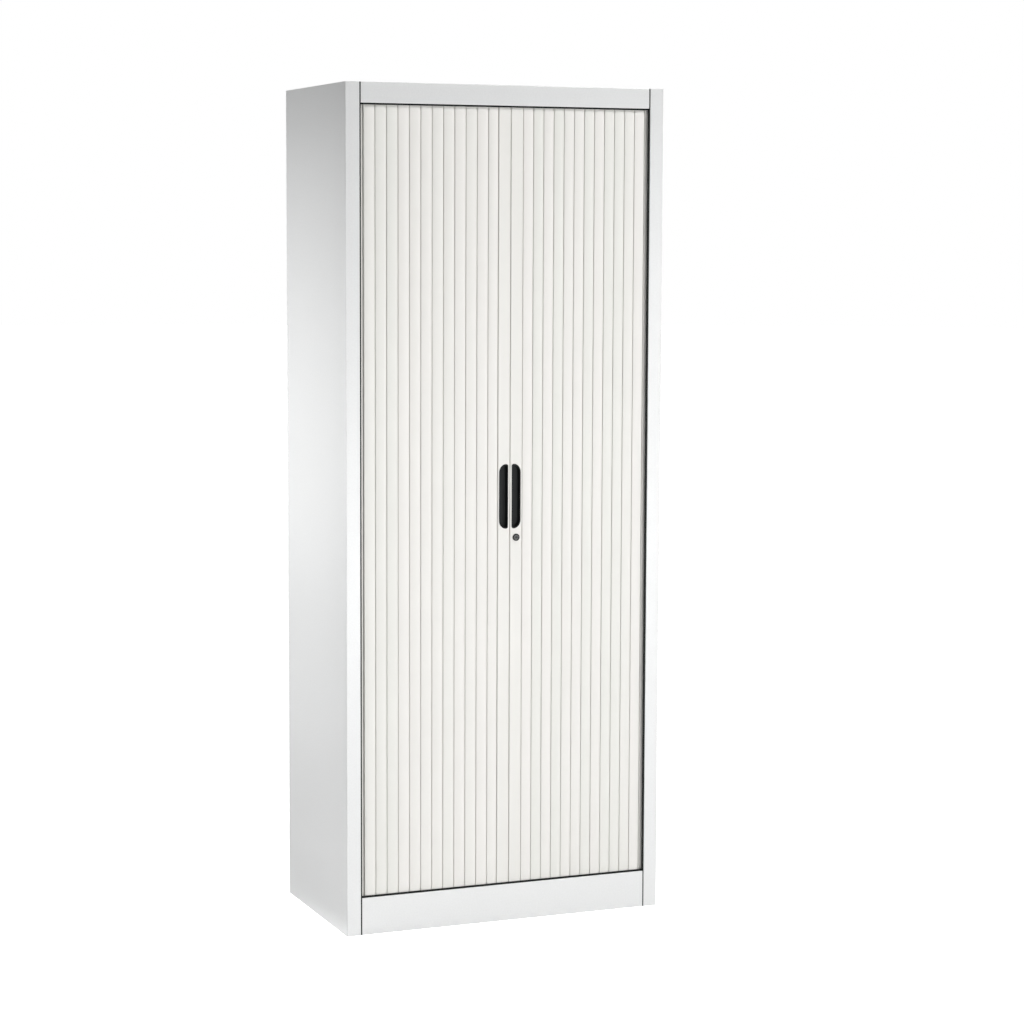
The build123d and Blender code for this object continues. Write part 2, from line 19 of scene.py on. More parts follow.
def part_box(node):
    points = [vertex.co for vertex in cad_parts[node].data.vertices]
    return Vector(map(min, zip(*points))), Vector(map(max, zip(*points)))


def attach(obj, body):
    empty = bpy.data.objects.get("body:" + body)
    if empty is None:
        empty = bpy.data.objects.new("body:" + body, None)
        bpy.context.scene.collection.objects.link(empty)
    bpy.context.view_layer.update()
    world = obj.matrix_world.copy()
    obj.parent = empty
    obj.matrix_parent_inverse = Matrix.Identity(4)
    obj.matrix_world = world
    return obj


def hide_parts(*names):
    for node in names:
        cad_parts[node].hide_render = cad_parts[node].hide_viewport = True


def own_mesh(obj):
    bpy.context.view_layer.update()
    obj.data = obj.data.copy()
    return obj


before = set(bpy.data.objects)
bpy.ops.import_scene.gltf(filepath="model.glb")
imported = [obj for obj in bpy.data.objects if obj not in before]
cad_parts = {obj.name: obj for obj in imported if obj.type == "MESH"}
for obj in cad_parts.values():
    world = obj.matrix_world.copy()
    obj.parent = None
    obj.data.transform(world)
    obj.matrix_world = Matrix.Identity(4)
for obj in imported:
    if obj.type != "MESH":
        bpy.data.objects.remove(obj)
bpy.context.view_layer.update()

millimetre = 0.001

# %% [markdown]
# ## Camera
# The photographer stood to the left of the cabinet, about six metres away, with the lens at head height.
# A long lens keeps the upright edges nearly parallel. The place and the angles were found by matching the
# six corners of the cabinet that the picture shows, and its handles. A little lens shift does the last of
# it, which is what an architect's camera would do. It stays small, so that other views still frame the
# whole cabinet. The picture itself has more shift, which keeps its upright edges quite parallel.

# %% Camera
picture_side = 1024
sensor_width = 36.0
focal_length_pixels = 2594.5
shift_right_pixels = 40.0
shift_up_pixels = -25.0
camera_place = Vector((-2.3363, -5.8377, 1.6391))
camera_turn = math.radians(21.809)
camera_tilt = math.radians(5.598)
camera_roll = math.radians(0.129)
camera_sees_to = 100.0


def add_camera():
    """The camera, looking to the right of +Y by its turn and down by its tilt."""
    data = bpy.data.cameras.new("studio_camera")
    data.sensor_width = sensor_width
    data.lens = focal_length_pixels / picture_side * sensor_width
    data.shift_x = shift_right_pixels / picture_side
    data.shift_y = shift_up_pixels / picture_side
    data.clip_end = camera_sees_to
    camera = bpy.data.objects.new("studio_camera", data)
    bpy.context.scene.collection.objects.link(camera)
    level = Matrix.Rotation(math.pi / 2 - camera_tilt, 4, "X")
    turn = Matrix.Rotation(-camera_turn, 4, "Z")
    roll = Matrix.Rotation(camera_roll, 4, "Z")
    camera.matrix_world = Matrix.Translation(camera_place) @ turn @ level @ roll
    bpy.context.scene.camera = camera
    return camera


camera = add_camera()
print("camera lens:", round(camera.data.lens, 1), "mm")

# %% [markdown]
# ## Helpers for materials
# A finish is a small network of nodes. Writing each node by hand takes many lines, so four helpers do the
# dull part: one adds a node with its settings, another opens a reusable group with named inputs and
# outputs, a third places that group in a material, and the last turns a size into a noise's scale. The
# alternative is to copy the same noise into every material. A group is built once, and each material
# places it with values of its own, so paint and plastic can share a grain and still differ.

# %% Node helpers


def add_node(tree, kind, **settings):
    """A node of a kind in a tree. Settings name its properties, and 'inputs' its input values or links."""
    inputs = settings.pop("inputs", {})
    node = tree.nodes.new(kind)
    for name, value in settings.items():
        setattr(node, name, value)
    for name, value in inputs.items():
        if isinstance(value, bpy.types.NodeSocket):
            tree.links.new(value, node.inputs[name])
        else:
            node.inputs[name].default_value = value
    return node


def open_group(name, inputs, outputs):
    """A shader node group with named number inputs and outputs, and the nodes at its two ends."""
    group = bpy.data.node_groups.new(name, "ShaderNodeTree")
    for label, value in inputs.items():
        socket = group.interface.new_socket(name=label, in_out="INPUT", socket_type="NodeSocketFloat")
        socket.default_value = value
    for label in outputs:
        group.interface.new_socket(name=label, in_out="OUTPUT", socket_type="NodeSocketFloat")
    return group, group.nodes.new("NodeGroupInput"), group.nodes.new("NodeGroupOutput")


def place_group(tree, group, **values):
    """The group as a node in a material. Values name its inputs, with underscores for spaces."""
    node = tree.nodes.new("ShaderNodeGroup")
    node.node_tree = group
    for name, value in values.items():
        node.inputs[name.replace("_", " ")].default_value = value
    return node


def per_metre(tree, size):
    """How often a size fits into a metre, which is what a noise wants for its scale."""
    return add_node(tree, "ShaderNodeMath", operation="DIVIDE", inputs={0: 1.0, 1: size}).outputs[0]


print("node helpers ready")

# %% [markdown]
# ## Shared effect: fine grain
# Powder coat bakes to a skin like fine orange peel, and moulded plastic copies the etched face of its
# mould. Both are a random height that repeats over a millimetre or so. Noise at two sizes, one three
# times finer than the other, looks less regular than a single noise. A picture texture could do it too,
# but noise needs no unwrapping and stays sharp at any distance.

# %% Fine grain group
finer_ratio = 3.1
finer_share = 0.35


def build_fine_grain():
    """Random height and tone from 0 to 1, at the grain's size in metres."""
    group, start, end = open_group("Fine grain", {"Size": 0.001, "Sharpness": 0.5}, ["Height", "Tone"])
    place = add_node(group, "ShaderNodeTexCoord")
    scale = per_metre(group, start.outputs["Size"])
    coarse = add_node(group, "ShaderNodeTexNoise", inputs={
        "Vector": place.outputs["Object"],
        "Scale": scale,
        "Detail": 2.0,
        "Roughness": start.outputs["Sharpness"],
    })
    finer = add_node(group, "ShaderNodeMath", operation="MULTIPLY", inputs={0: scale, 1: finer_ratio})
    fine = add_node(group, "ShaderNodeTexNoise", inputs={
        "Vector": place.outputs["Object"],
        "Scale": finer.outputs[0],
        "Detail": 1.0,
    })
    mixed = add_node(group, "ShaderNodeMix", inputs={
        "Factor": finer_share,
        "A": coarse.outputs["Fac"],
        "B": fine.outputs["Fac"],
    })
    group.links.new(mixed.outputs["Result"], end.inputs["Height"])
    group.links.new(fine.outputs["Fac"], end.inputs["Tone"])
    return group


fine_grain = build_fine_grain()
print("group:", fine_grain.name)

# %% [markdown]
# ## Shared effect: soft patches
# No large surface is quite even. Paint is a little thicker here and thinner there, and hands leave a
# faint change in gloss. Wide, blurred noise says this with a mask between 0 and 1. It is used weakly:
# seen as patches, it would look like dirt.

# %% Soft patches group
patch_swirl = 0.6
patch_low = 0.3
patch_high = 0.7


def build_soft_patches():
    """A blurred mask from 0 to 1, whose patches are about as wide as the size in metres."""
    group, start, end = open_group("Soft patches", {"Size": 0.3}, ["Mask"])
    place = add_node(group, "ShaderNodeTexCoord")
    noise = add_node(group, "ShaderNodeTexNoise", inputs={
        "Vector": place.outputs["Object"],
        "Scale": per_metre(group, start.outputs["Size"]),
        "Detail": 3.0,
        "Distortion": patch_swirl,
    })
    spread = add_node(group, "ShaderNodeMapRange", inputs={
        "Value": noise.outputs["Fac"],
        "From Min": patch_low,
        "From Max": patch_high,
    })
    group.links.new(spread.outputs["Result"], end.inputs["Mask"])
    return group


soft_patches = build_soft_patches()
print("group:", soft_patches.name)

# %% [markdown]
# ## Shared effect: drawn lines
# An extruded slat keeps faint lines along its length, where the die has scratched it. Drawn wire and
# brushed steel show the same thing. Noise stretched by a hundred along one direction gives lines that
# start and fade by themselves.

# %% Drawn lines group


def build_drawn_lines():
    """Lines that run along Z, from 0 to 1, about as far apart as the spacing in metres."""
    group, start, end = open_group("Drawn lines", {"Spacing": 0.001, "Stretch": 100.0}, ["Height"])
    place = add_node(group, "ShaderNodeTexCoord")
    across = per_metre(group, start.outputs["Spacing"])
    along = add_node(group, "ShaderNodeMath", operation="DIVIDE", inputs={
        0: across,
        1: start.outputs["Stretch"],
    })
    sizes = add_node(group, "ShaderNodeCombineXYZ", inputs={
        "X": across,
        "Y": across,
        "Z": along.outputs[0],
    })
    stretched = add_node(group, "ShaderNodeVectorMath", operation="MULTIPLY", inputs={
        0: place.outputs["Object"],
        1: sizes.outputs[0],
    })
    noise = add_node(group, "ShaderNodeTexNoise", inputs={
        "Vector": stretched.outputs[0],
        "Scale": 1.0,
        "Detail": 2.0,
    })
    group.links.new(noise.outputs["Fac"], end.inputs["Height"])
    return group


drawn_lines = build_drawn_lines()
print("group:", drawn_lines.name)

# %% [markdown]
# ## Starting a material
# Every finish below ends in one Principled shader, and what changes over the surface goes into its
# colour, its roughness and its normal. These three helpers add that wiring: a colour between two near
# tones, a roughness between two values, and a bump from one or two heights. What is the same all over is
# typed on the shader itself.

# %% Material helpers


def start_material(name, **values):
    """A new material with a Principled shader. Values name its inputs, with underscores for spaces."""
    material = bpy.data.materials.new(name)
    material.use_nodes = True
    tree = material.node_tree
    tree.nodes.clear()
    shader = add_node(tree, "ShaderNodeBsdfPrincipled")
    for label, value in values.items():
        shader.inputs[label.replace("_", " ")].default_value = value
    output = add_node(tree, "ShaderNodeOutputMaterial")
    tree.links.new(shader.outputs["BSDF"], output.inputs["Surface"])
    return material, tree, shader


def vary_colour(tree, shader, mask, low, high):
    """The base colour goes from low to high as the mask goes from 0 to 1."""
    blend = add_node(tree, "ShaderNodeMix", data_type="RGBA")
    tree.links.new(mask, blend.inputs["Factor"])
    blend.inputs["A"].default_value = (*low, 1.0)
    blend.inputs["B"].default_value = (*high, 1.0)
    tree.links.new(blend.outputs["Result"], shader.inputs["Base Color"])


def vary_roughness(tree, shader, mask, low, high):
    """The roughness goes from low to high as the mask goes from 0 to 1."""
    span = add_node(tree, "ShaderNodeMapRange", inputs={"Value": mask, "To Min": low, "To Max": high})
    tree.links.new(span.outputs["Result"], shader.inputs["Roughness"])


def raise_surface(tree, shader, *reliefs):
    """Bumps one on top of another. Each relief is a height from 0 to 1 and how deep it is, in metres."""
    normal = None
    for height, depth in reliefs:
        bump = add_node(tree, "ShaderNodeBump", inputs={
            "Height": height,
            "Distance": depth,
            "Strength": 1.0,
        })
        if normal is not None:
            tree.links.new(normal, bump.inputs["Normal"])
        normal = bump.outputs["Normal"]
    tree.links.new(normal, shader.inputs["Normal"])


print("material helpers ready")

# %% [markdown]
# ## Finish: light grey powder coat
# The body, the stiles, the fascia and the plinth are sprayed with dry powder and baked. The skin is matt
# to silky, with a fine peel that only shows in a raking light. The grain gives the peel and a slight
# change of tone, and the soft patches change the gloss a little.

# %% Powder coat
paint_tones = (0.589, 0.595, 0.595), (0.709, 0.715, 0.715)
paint_roughness = 0.28, 0.30
paint_peel_size = 4.0 * millimetre
paint_peel_depth = 0.25 * millimetre
paint_peel_sharpness = 0.65
paint_patch_size = 0.35


def powder_coat():
    """Silky light grey paint on sheet steel."""
    material, tree, shader = start_material("powder_coat", Specular_IOR_Level=1.0)
    grain = place_group(tree, fine_grain, Size=paint_peel_size, Sharpness=paint_peel_sharpness)
    patches = place_group(tree, soft_patches, Size=paint_patch_size)
    vary_colour(tree, shader, grain.outputs["Height"], *paint_tones)
    vary_roughness(tree, shader, patches.outputs["Mask"], *paint_roughness)
    raise_surface(tree, shader, (grain.outputs["Height"], paint_peel_depth))
    return material


paint = powder_coat()
print("material:", paint.name)

# %% [markdown]
# ## Finish: slat plastic
# The slats are drawn through a die in warm white plastic. Each has faint lines along its length and its
# own slight tint, because slats from different runs hang side by side. The tint is stored on each slat as
# a number from -1 to 1, which the material reads. A slat without one gets the middle tint.

# %% Slat plastic
tint_name = "slat_tint"
slat_tones = (0.722, 0.722, 0.685), (0.759, 0.741, 0.716)
slat_roughness = 0.38, 0.48
slat_line_spacing = 1.2 * millimetre
slat_line_depth = 0.02 * millimetre
slat_line_stretch = 150.0
slat_patch_size = 0.25
slat_grain_size = 0.7 * millimetre
slat_grain_depth = 0.01 * millimetre


def slat_plastic():
    """Satin warm white extrusion, with a tint that changes from slat to slat."""
    material, tree, shader = start_material("slat_plastic", Specular_IOR_Level=0.5)
    lines = place_group(tree, drawn_lines, Spacing=slat_line_spacing, Stretch=slat_line_stretch)
    grain = place_group(tree, fine_grain, Size=slat_grain_size, Sharpness=0.5)
    patches = place_group(tree, soft_patches, Size=slat_patch_size)
    tint = add_node(tree, "ShaderNodeAttribute", attribute_name=tint_name)
    warmth = add_node(tree, "ShaderNodeMapRange", inputs={"Value": tint.outputs["Fac"], "From Min": -1.0})
    vary_colour(tree, shader, warmth.outputs["Result"], *slat_tones)
    vary_roughness(tree, shader, patches.outputs["Mask"], *slat_roughness)
    line_relief = (lines.outputs["Height"], slat_line_depth)
    grain_relief = (grain.outputs["Height"], slat_grain_depth)
    raise_surface(tree, shader, line_relief, grain_relief)
    return material


slat_material = slat_plastic()
print("material:", slat_material.name)

# %% [markdown]
# ## Finish: black mouldings
# The handle cups, the tracks and the strips beside the stiles are black plastic out of an etched mould.
# The etching is coarser than the paint's peel and makes the gloss soft.

# %% Black plastic
moulding_tones = (0.008, 0.0095, 0.0095), (0.011, 0.013, 0.013)
moulding_roughness = 0.45, 0.6
etching_size = 0.6 * millimetre
etching_depth = 0.04 * millimetre
etching_sharpness = 0.6
moulding_patch_size = 0.05


def black_plastic():
    """Etched black moulding."""
    material, tree, shader = start_material("black_plastic", Specular_IOR_Level=0.15)
    grain = place_group(tree, fine_grain, Size=etching_size, Sharpness=etching_sharpness)
    patches = place_group(tree, soft_patches, Size=moulding_patch_size)
    vary_colour(tree, shader, patches.outputs["Mask"], *moulding_tones)
    vary_roughness(tree, shader, grain.outputs["Tone"], *moulding_roughness)
    raise_surface(tree, shader, (grain.outputs["Height"], etching_depth))
    return material


moulding = black_plastic()
print("material:", moulding.name)

# %% [markdown]
# ## Finish: rubber
# The buffers at the ends of the tracks are soft black rubber: duller than the plastic, and slightly
# dusty.

# %% Rubber
rubber_tones = (0.016, 0.016, 0.016), (0.03, 0.03, 0.029)
rubber_roughness = 0.7, 0.85
rubber_grain_size = 0.9 * millimetre
rubber_grain_depth = 0.05 * millimetre
rubber_grain_sharpness = 0.7
rubber_patch_size = 0.01


def black_rubber():
    """Dull rubber with a dusty bloom."""
    material, tree, shader = start_material("black_rubber", Specular_IOR_Level=0.3)
    grain = place_group(tree, fine_grain, Size=rubber_grain_size, Sharpness=rubber_grain_sharpness)
    patches = place_group(tree, soft_patches, Size=rubber_patch_size)
    vary_colour(tree, shader, patches.outputs["Mask"], *rubber_tones)
    vary_roughness(tree, shader, patches.outputs["Mask"], *rubber_roughness)
    raise_surface(tree, shader, (grain.outputs["Height"], rubber_grain_depth))
    return material


rubber = black_rubber()
print("material:", rubber.name)

# %% [markdown]
# ## Finish: zinc plated steel
# Clips, screws, hook, striker, bosses and feet are steel with a thin coat of zinc. Zinc is a blue-grey
# metal whose crystals give it cloudy patches of different gloss, over the lines left by rolling.

# %% Zinc plate
zinc_tones = (0.52, 0.54, 0.56), (0.66, 0.67, 0.68)
zinc_roughness = 0.28, 0.42
rolling_line_spacing = 0.4 * millimetre
rolling_line_depth = 0.01 * millimetre
rolling_line_stretch = 40.0
zinc_patch_size = 0.012


def zinc_plate():
    """Cloudy bright metal."""
    material, tree, shader = start_material("zinc_plate", Metallic=1.0)
    patches = place_group(tree, soft_patches, Size=zinc_patch_size)
    lines = place_group(tree, drawn_lines, Spacing=rolling_line_spacing, Stretch=rolling_line_stretch)
    vary_colour(tree, shader, patches.outputs["Mask"], *zinc_tones)
    vary_roughness(tree, shader, patches.outputs["Mask"], *zinc_roughness)
    raise_surface(tree, shader, (lines.outputs["Height"], rolling_line_depth))
    return material


zinc = zinc_plate()
print("material:", zinc.name)

# %% [markdown]
# ## Finish: the lock's black ring and its dark plug
# The ring round the lock is a black coated die casting with a soft gloss. The plug in it is gunmetal grey
# and nearly matt. As a bare metal it would mirror the bright floor, and its dish would hardly show.

# %% Lock metals
ring_tones = (0.007, 0.008, 0.008), (0.012, 0.013, 0.013)
ring_roughness = 0.32, 0.44
ring_grain_size = 0.4 * millimetre
ring_grain_depth = 0.01 * millimetre
plug_tones = (0.15, 0.157, 0.154), (0.19, 0.197, 0.194)
plug_roughness = 0.4, 0.5
plug_grain_size = 0.3 * millimetre
plug_grain_depth = 0.008 * millimetre
plug_patch_size = 0.002


def lock_black():
    """Black coated die casting."""
    material, tree, shader = start_material("lock_black", Specular_IOR_Level=0.3)
    grain = place_group(tree, fine_grain, Size=ring_grain_size, Sharpness=0.5)
    vary_colour(tree, shader, grain.outputs["Tone"], *ring_tones)
    vary_roughness(tree, shader, grain.outputs["Tone"], *ring_roughness)
    raise_surface(tree, shader, (grain.outputs["Height"], ring_grain_depth))
    return material


def gunmetal():
    """Nearly matt dark grey skin of a blackened metal."""
    material, tree, shader = start_material("gunmetal", Specular_IOR_Level=0.2)
    patches = place_group(tree, soft_patches, Size=plug_patch_size)
    grain = place_group(tree, fine_grain, Size=plug_grain_size, Sharpness=0.5)
    vary_colour(tree, shader, patches.outputs["Mask"], *plug_tones)
    vary_roughness(tree, shader, patches.outputs["Mask"], *plug_roughness)
    raise_surface(tree, shader, (grain.outputs["Height"], plug_grain_depth))
    return material


ring_metal = lock_black()
plug_metal = gunmetal()
print("materials:", ring_metal.name, plug_metal.name)

# %% [markdown]
# ## Dressing the solids
# Each solid already has the right shape, so it only needs its finish. A list from the beginning of a name
# to a material covers all of them, and every solid is checked off.

# %% Finish for every solid
finish_by_name = {
    "side_panel": paint,
    "top_panel": paint,
    "ceiling_panel": paint,
    "base_panel": paint,
    "plinth": paint,
    "back_panel": paint,
    "lining": paint,
    "shelf_clips": zinc,
    "shelf": paint,
    "edge_seal": moulding,
    "bottom_track": moulding,
    "top_track": moulding,
    "track_screws": zinc,
    "track_buffers": rubber,
    "corner_slats": slat_material,
    "left_slat": slat_material,
    "right_slat": slat_material,
    "left_leading_slat": slat_material,
    "right_leading_slat": slat_material,
    "left_handle_cup": moulding,
    "right_handle_cup": moulding,
    "lock_housing": ring_metal,
    "lock_plug": plug_metal,
    "lock_hook": zinc,
    "lock_striker": zinc,
    "leveller_bosses": zinc,
    "foot": zinc,
}


def dress(node, solid):
    """Gives one solid the finish whose name its own name starts with."""
    finish = next(value for start, value in finish_by_name.items() if node.startswith(start))
    solid.data.materials.clear()
    solid.data.materials.append(finish)


for node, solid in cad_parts.items():
    dress(node, solid)
print("dressed", len(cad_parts), "solids")

# %% [markdown]
# ## Making a mesh from loops
# Most of the pieces below are drawn or lathed shapes: one closed outline that repeats along a path and is
# joined to itself. A modelling tool would call it extrude, loft or spin. One helper takes any stack of
# loops with as many points each, joins each loop to the next and closes the two ends. Another smooths the
# result except at the edges that are sharp on the real piece, so curves look round and corners stay
# crisp.

# %% Loop helpers
smooth_below = math.radians(32.0)


def loft(mesh, loops, closed_path=False):
    """Joins a stack of loops of points into a skin. Its ends are closed unless the path is closed."""
    rings = [[mesh.verts.new(point) for point in loop] for loop in loops]
    following = rings[1:] + rings[:1] if closed_path else rings[1:]
    for ring, after in zip(rings, following):
        for k in range(len(ring)):
            other = (k + 1) % len(ring)
            mesh.faces.new((ring[k], ring[other], after[other], after[k]))
    if not closed_path:
        mesh.faces.new(rings[0][::-1])
        mesh.faces.new(rings[-1])
    return rings


def finish_piece(name, mesh, finish):
    """Turns a bmesh into an object with smooth curves, crisp corners and one finish."""
    bmesh.ops.recalc_face_normals(mesh, faces=mesh.faces[:])
    data = bpy.data.meshes.new(name)
    mesh.to_mesh(data)
    mesh.free()
    data.materials.append(finish)
    data.shade_smooth()
    data.set_sharp_from_angle(angle=smooth_below)
    piece = bpy.data.objects.new(name, data)
    bpy.context.scene.collection.objects.link(piece)
    return piece


def arc(centre, radius, start, end, steps):
    """Points on an arc in a plane. The angles are in degrees, and both ends are included."""
    angles = [math.radians(start + (end - start) * k / steps) for k in range(steps + 1)]
    return [(centre[0] + radius * math.cos(a), centre[1] + radius * math.sin(a)) for a in angles]


def full_turn(steps):
    """Angles once round a circle, in radians."""
    return [2 * math.pi * k / steps for k in range(steps)]


print("loop helpers ready")

# %% [markdown]
# ## The slat curtains
# Each door leaf is a curtain of twelve upright slats. A slat is an extruded strip with a gently crowned
# face, softly rounded edges, and a tongue that hooks into the next slat's groove. When the door opens,
# the slats run round the corner and back along the side. Seen from the front, the curtain simply gets
# narrower.
#
# The section is drawn as one closed line of points: a shallow arc for the crown, a small arc at each
# edge, and straight steps for the tongue and the groove. A trim of about half a millimetre opens the line
# between two slats, so that it draws as dark as in the picture.

# %% Slat section
slat_gap = 0.8 * millimetre
slat_trim = 0.6 * millimetre
slat_crown = 1.2 * millimetre
slat_edge_radius = 1.2 * millimetre
tongue_length = 2.6 * millimetre
tongue_thickness = 2.0 * millimetre
tongue_cover = 0.9 * millimetre
tongue_play = 0.25 * millimetre
crown_steps = 16
edge_steps = 6


def crowned_face(start, end, front):
    """The front of a slat from one rounded edge to the other, as points across and in depth."""
    half = (end - start) / 2
    crown_radius = (half**2 + slat_crown**2) / (2 * slat_crown)
    centre = ((start + end) / 2, front + crown_radius)
    reach = half - slat_edge_radius
    edge_y = centre[1] - math.sqrt((crown_radius - slat_edge_radius) ** 2 - reach**2)
    lean = math.degrees(math.asin(reach / (crown_radius - slat_edge_radius)))
    left = arc((centre[0] - reach, edge_y), slat_edge_radius, 180.0, 270.0 - lean, edge_steps)
    crown = arc(centre, crown_radius, 270.0 - lean, 270.0 + lean, crown_steps)
    right = arc((centre[0] + reach, edge_y), slat_edge_radius, 270.0 + lean, 360.0, edge_steps)
    return left + crown[1:-1] + right


def slat_outline(start, end, front, back, hooked):
    """A slat's closed section. Its groove is at the end, and its tongue, if it is hooked, at the start."""
    deep = back - tongue_cover
    shallow = deep - tongue_thickness
    groove_end = end - (tongue_length - slat_gap - slat_trim + tongue_play)
    points = crowned_face(start, end, front)
    points += [(end, shallow - tongue_play), (groove_end, shallow - tongue_play)]
    points += [(groove_end, deep + tongue_play), (end, deep + tongue_play)]
    points += [(end, back), (start, back)]
    if hooked:
        points += [(start, deep), (start - tongue_length, deep)]
        points += [(start - tongue_length, shallow), (start, shallow)]
    return points


print("slat crown:", slat_crown / millimetre, "mm")

# %% [markdown]
# ## Hanging the curtains
# On the real cabinet the slats are threaded one into the next and pushed into the tracks. Twelve separate
# solids would have to pass through each other to gather at the corner, because each can only slide. Here
# one mesh holds a leaf's twelve slats. The slats' edges are read from the frame, so that every slat stands
# where its solid stands.

# %% Curtains
tint_seed = 41
# the way across from a leaf's corner to the meeting line
leaf_sides = {"left": 1, "right": -1}


def slat_spans(nodes, side):
    """Start and end of each slat across the front, measured from the corner towards the meeting line."""
    spans = []
    for node in nodes:
        low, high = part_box(node)
        reach = sorted((side * low[0], side * high[0]))
        start = spans[-1][1] + slat_trim + slat_gap if spans else reach[0]
        spans.append((start, reach[1] - slat_trim))
    return spans


def curtain(leaf, side, tints):
    """One leaf's slats as a single piece, hung on the root body in place of their solids."""
    nodes = sorted(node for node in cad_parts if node.startswith(leaf + "_slat_"))
    low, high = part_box(nodes[0])
    spans = slat_spans(nodes, side)
    mesh = bmesh.new()
    tint_layer = mesh.verts.layers.float.new(tint_name)
    for number, (start, end) in enumerate(spans):
        section = slat_outline(start, end, low[1], high[1], hooked=number > 0)
        rings = loft(mesh, [[(side * u, y, z) for u, y in section] for z in (low[2], high[2])])
        tint = tints.uniform(-1.0, 1.0)
        for vertex in rings[0] + rings[1]:
            vertex[tint_layer] = tint
    piece = finish_piece(leaf + "_slat_curtain", mesh, slat_material)
    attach(piece, "root")
    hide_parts(*nodes)
    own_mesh(piece)


tints = random.Random(tint_seed)
for leaf, side in leaf_sides.items():
    curtain(leaf, side, tints)

# %% [markdown]
# ## The handle cups
# Each leading slat has a black moulded cup for the fingers: a flat rim that lies on the slat, with long
# round corners at its outer side and tight ones beside the meeting line, and a hollow with sloping walls.
# The long corners are quarter ellipses, a little taller than they are wide. The cup is a stack of
# outlines, each one set in from the last and at its own depth, from the rim's underside over the rim and
# down into the hollow. Where the stack turns, three or four outlines close together make the small radius
# that every moulding has. A box with its edges bevelled would have the same radius on all corners, and
# this cup doesn't.

# %% Handle cups
cup_outer_width = 17.0 * millimetre
cup_outer_height = 20.0 * millimetre
cup_inner_radius = 5.0 * millimetre
cup_rim = 1.2 * millimetre
cup_rim_round = 0.5 * millimetre
cup_lip_width = 2.5 * millimetre
cup_lip_round = 0.9 * millimetre
cup_draft = 0.8 * millimetre
cup_floor_round = 2.0 * millimetre
cup_floor_wall = 1.5 * millimetre
least_corner = 0.4 * millimetre
corner_steps = 12
round_steps = 5


def cup_loop(low, high, inset, y, side):
    """A cup's front outline, moved in by an inset, at one depth. Side points to the meeting line."""
    half_width = (high[0] - low[0]) / 2 - inset
    half_height = (high[2] - low[2]) / 2 - inset
    middle = ((low[0] + high[0]) / 2, (low[2] + high[2]) / 2)
    outer = (cup_outer_width - inset, cup_outer_height - inset)
    inner = (max(cup_inner_radius - inset, least_corner),) * 2
    points = []
    for across, up, start in ((1, 1, 0), (-1, 1, 90), (-1, -1, 180), (1, -1, 270)):
        wide, tall = inner if across > 0 else outer
        centre = (across * (half_width - wide), up * (half_height - tall))
        turn = arc((0.0, 0.0), 1.0, start, start + 90, corner_steps)
        points += [(centre[0] + wide * u, centre[1] + tall * v) for u, v in turn]
    return [(middle[0] + side * u, y, middle[1] + v) for u, v in points]


def cup_profile(front, back, face):
    """Insets and depths of a cup's outlines, from the closed back, round the rim and down to the floor."""
    floor_y = back - cup_floor_wall
    lip = cup_lip_width - cup_lip_round
    floor_inset = cup_lip_width + cup_draft
    rim_turn = arc((0.0, 0.0), cup_rim_round, 0, 90, round_steps)
    lip_turn = arc((0.0, 0.0), cup_lip_round, 90, 0, round_steps)
    floor_turn = arc((0.0, 0.0), cup_floor_round, 0, 90, round_steps)
    steps = [(cup_rim, back), (cup_rim, face), (0.0, face)]
    steps += [(cup_rim_round - u, front + cup_rim_round - v) for u, v in rim_turn]
    steps += [(lip + u, front + cup_lip_round - v) for u, v in lip_turn]
    steps += [(floor_inset + cup_floor_round - u, floor_y - cup_floor_round + v) for u, v in floor_turn]
    return steps


def handle_cup(leaf, side):
    """A leaf's moulded cup, in place of its plain solid."""
    node = leaf + "_handle_cup"
    low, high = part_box(node)
    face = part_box(leaf + "_leading_slat")[0][1]
    mesh = bmesh.new()
    loft(mesh, [cup_loop(low, high, inset, y, side) for inset, y in cup_profile(low[1], high[1], face)])
    piece = finish_piece(leaf + "_moulded_cup", mesh, moulding)
    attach(piece, leaf + "_leaf")
    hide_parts(node)
    print(piece.name, "is", round((high[2] - low[2]) / millimetre, 1), "mm tall")


for leaf, side in leaf_sides.items():
    handle_cup(leaf, side)

# %% [markdown]
# ## The lock
# Below the right cup sits a small cam lock, a black ring with a plug in it. Both are turned parts, so
# they are spun from a profile: a line of radii and depths that is copied round the axis. A ready made
# cylinder would be quicker, but it has no rounded rim, and the small highlight on that rim is what the
# eye finds.

# %% Turned parts
lathe_steps = 72


def swing(centre, radius, y, angle):
    """A point at a radius and a depth, swung round an axis along Y through a centre."""
    return centre[0] + radius * math.cos(angle), y, centre[1] + radius * math.sin(angle)


def spin(name, profile, centre, finish):
    """A turned part from radii and depths, with closed ends."""
    mesh = bmesh.new()
    turn = full_turn(lathe_steps)
    loft(mesh, [[swing(centre, radius, y, angle) for angle in turn] for radius, y in profile])
    return finish_piece(name, mesh, finish)


def lock_axis():
    """Where the lock's axis is, across and in height."""
    low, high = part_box("lock_housing")
    return (low[0] + high[0]) / 2, (low[2] + high[2]) / 2


print("lock axis at", [round(v / millimetre, 1) for v in lock_axis()], "mm")

# %% [markdown]
# ## The lock's ring
# The ring stands a little proud of the slat, and its barrel goes through to the hook behind. Its profile
# starts and ends in the bore, so the loops go all the way round and need no caps. The rim and the mouth
# of the bore are arcs, because a die casting has no sharp edge anywhere.

# %% Lock ring
ring_round = 0.9 * millimetre
ring_bore_round = 0.35 * millimetre
barrel_radius = 7.0 * millimetre
plug_radius = 5.2 * millimetre
plug_play = 0.05 * millimetre


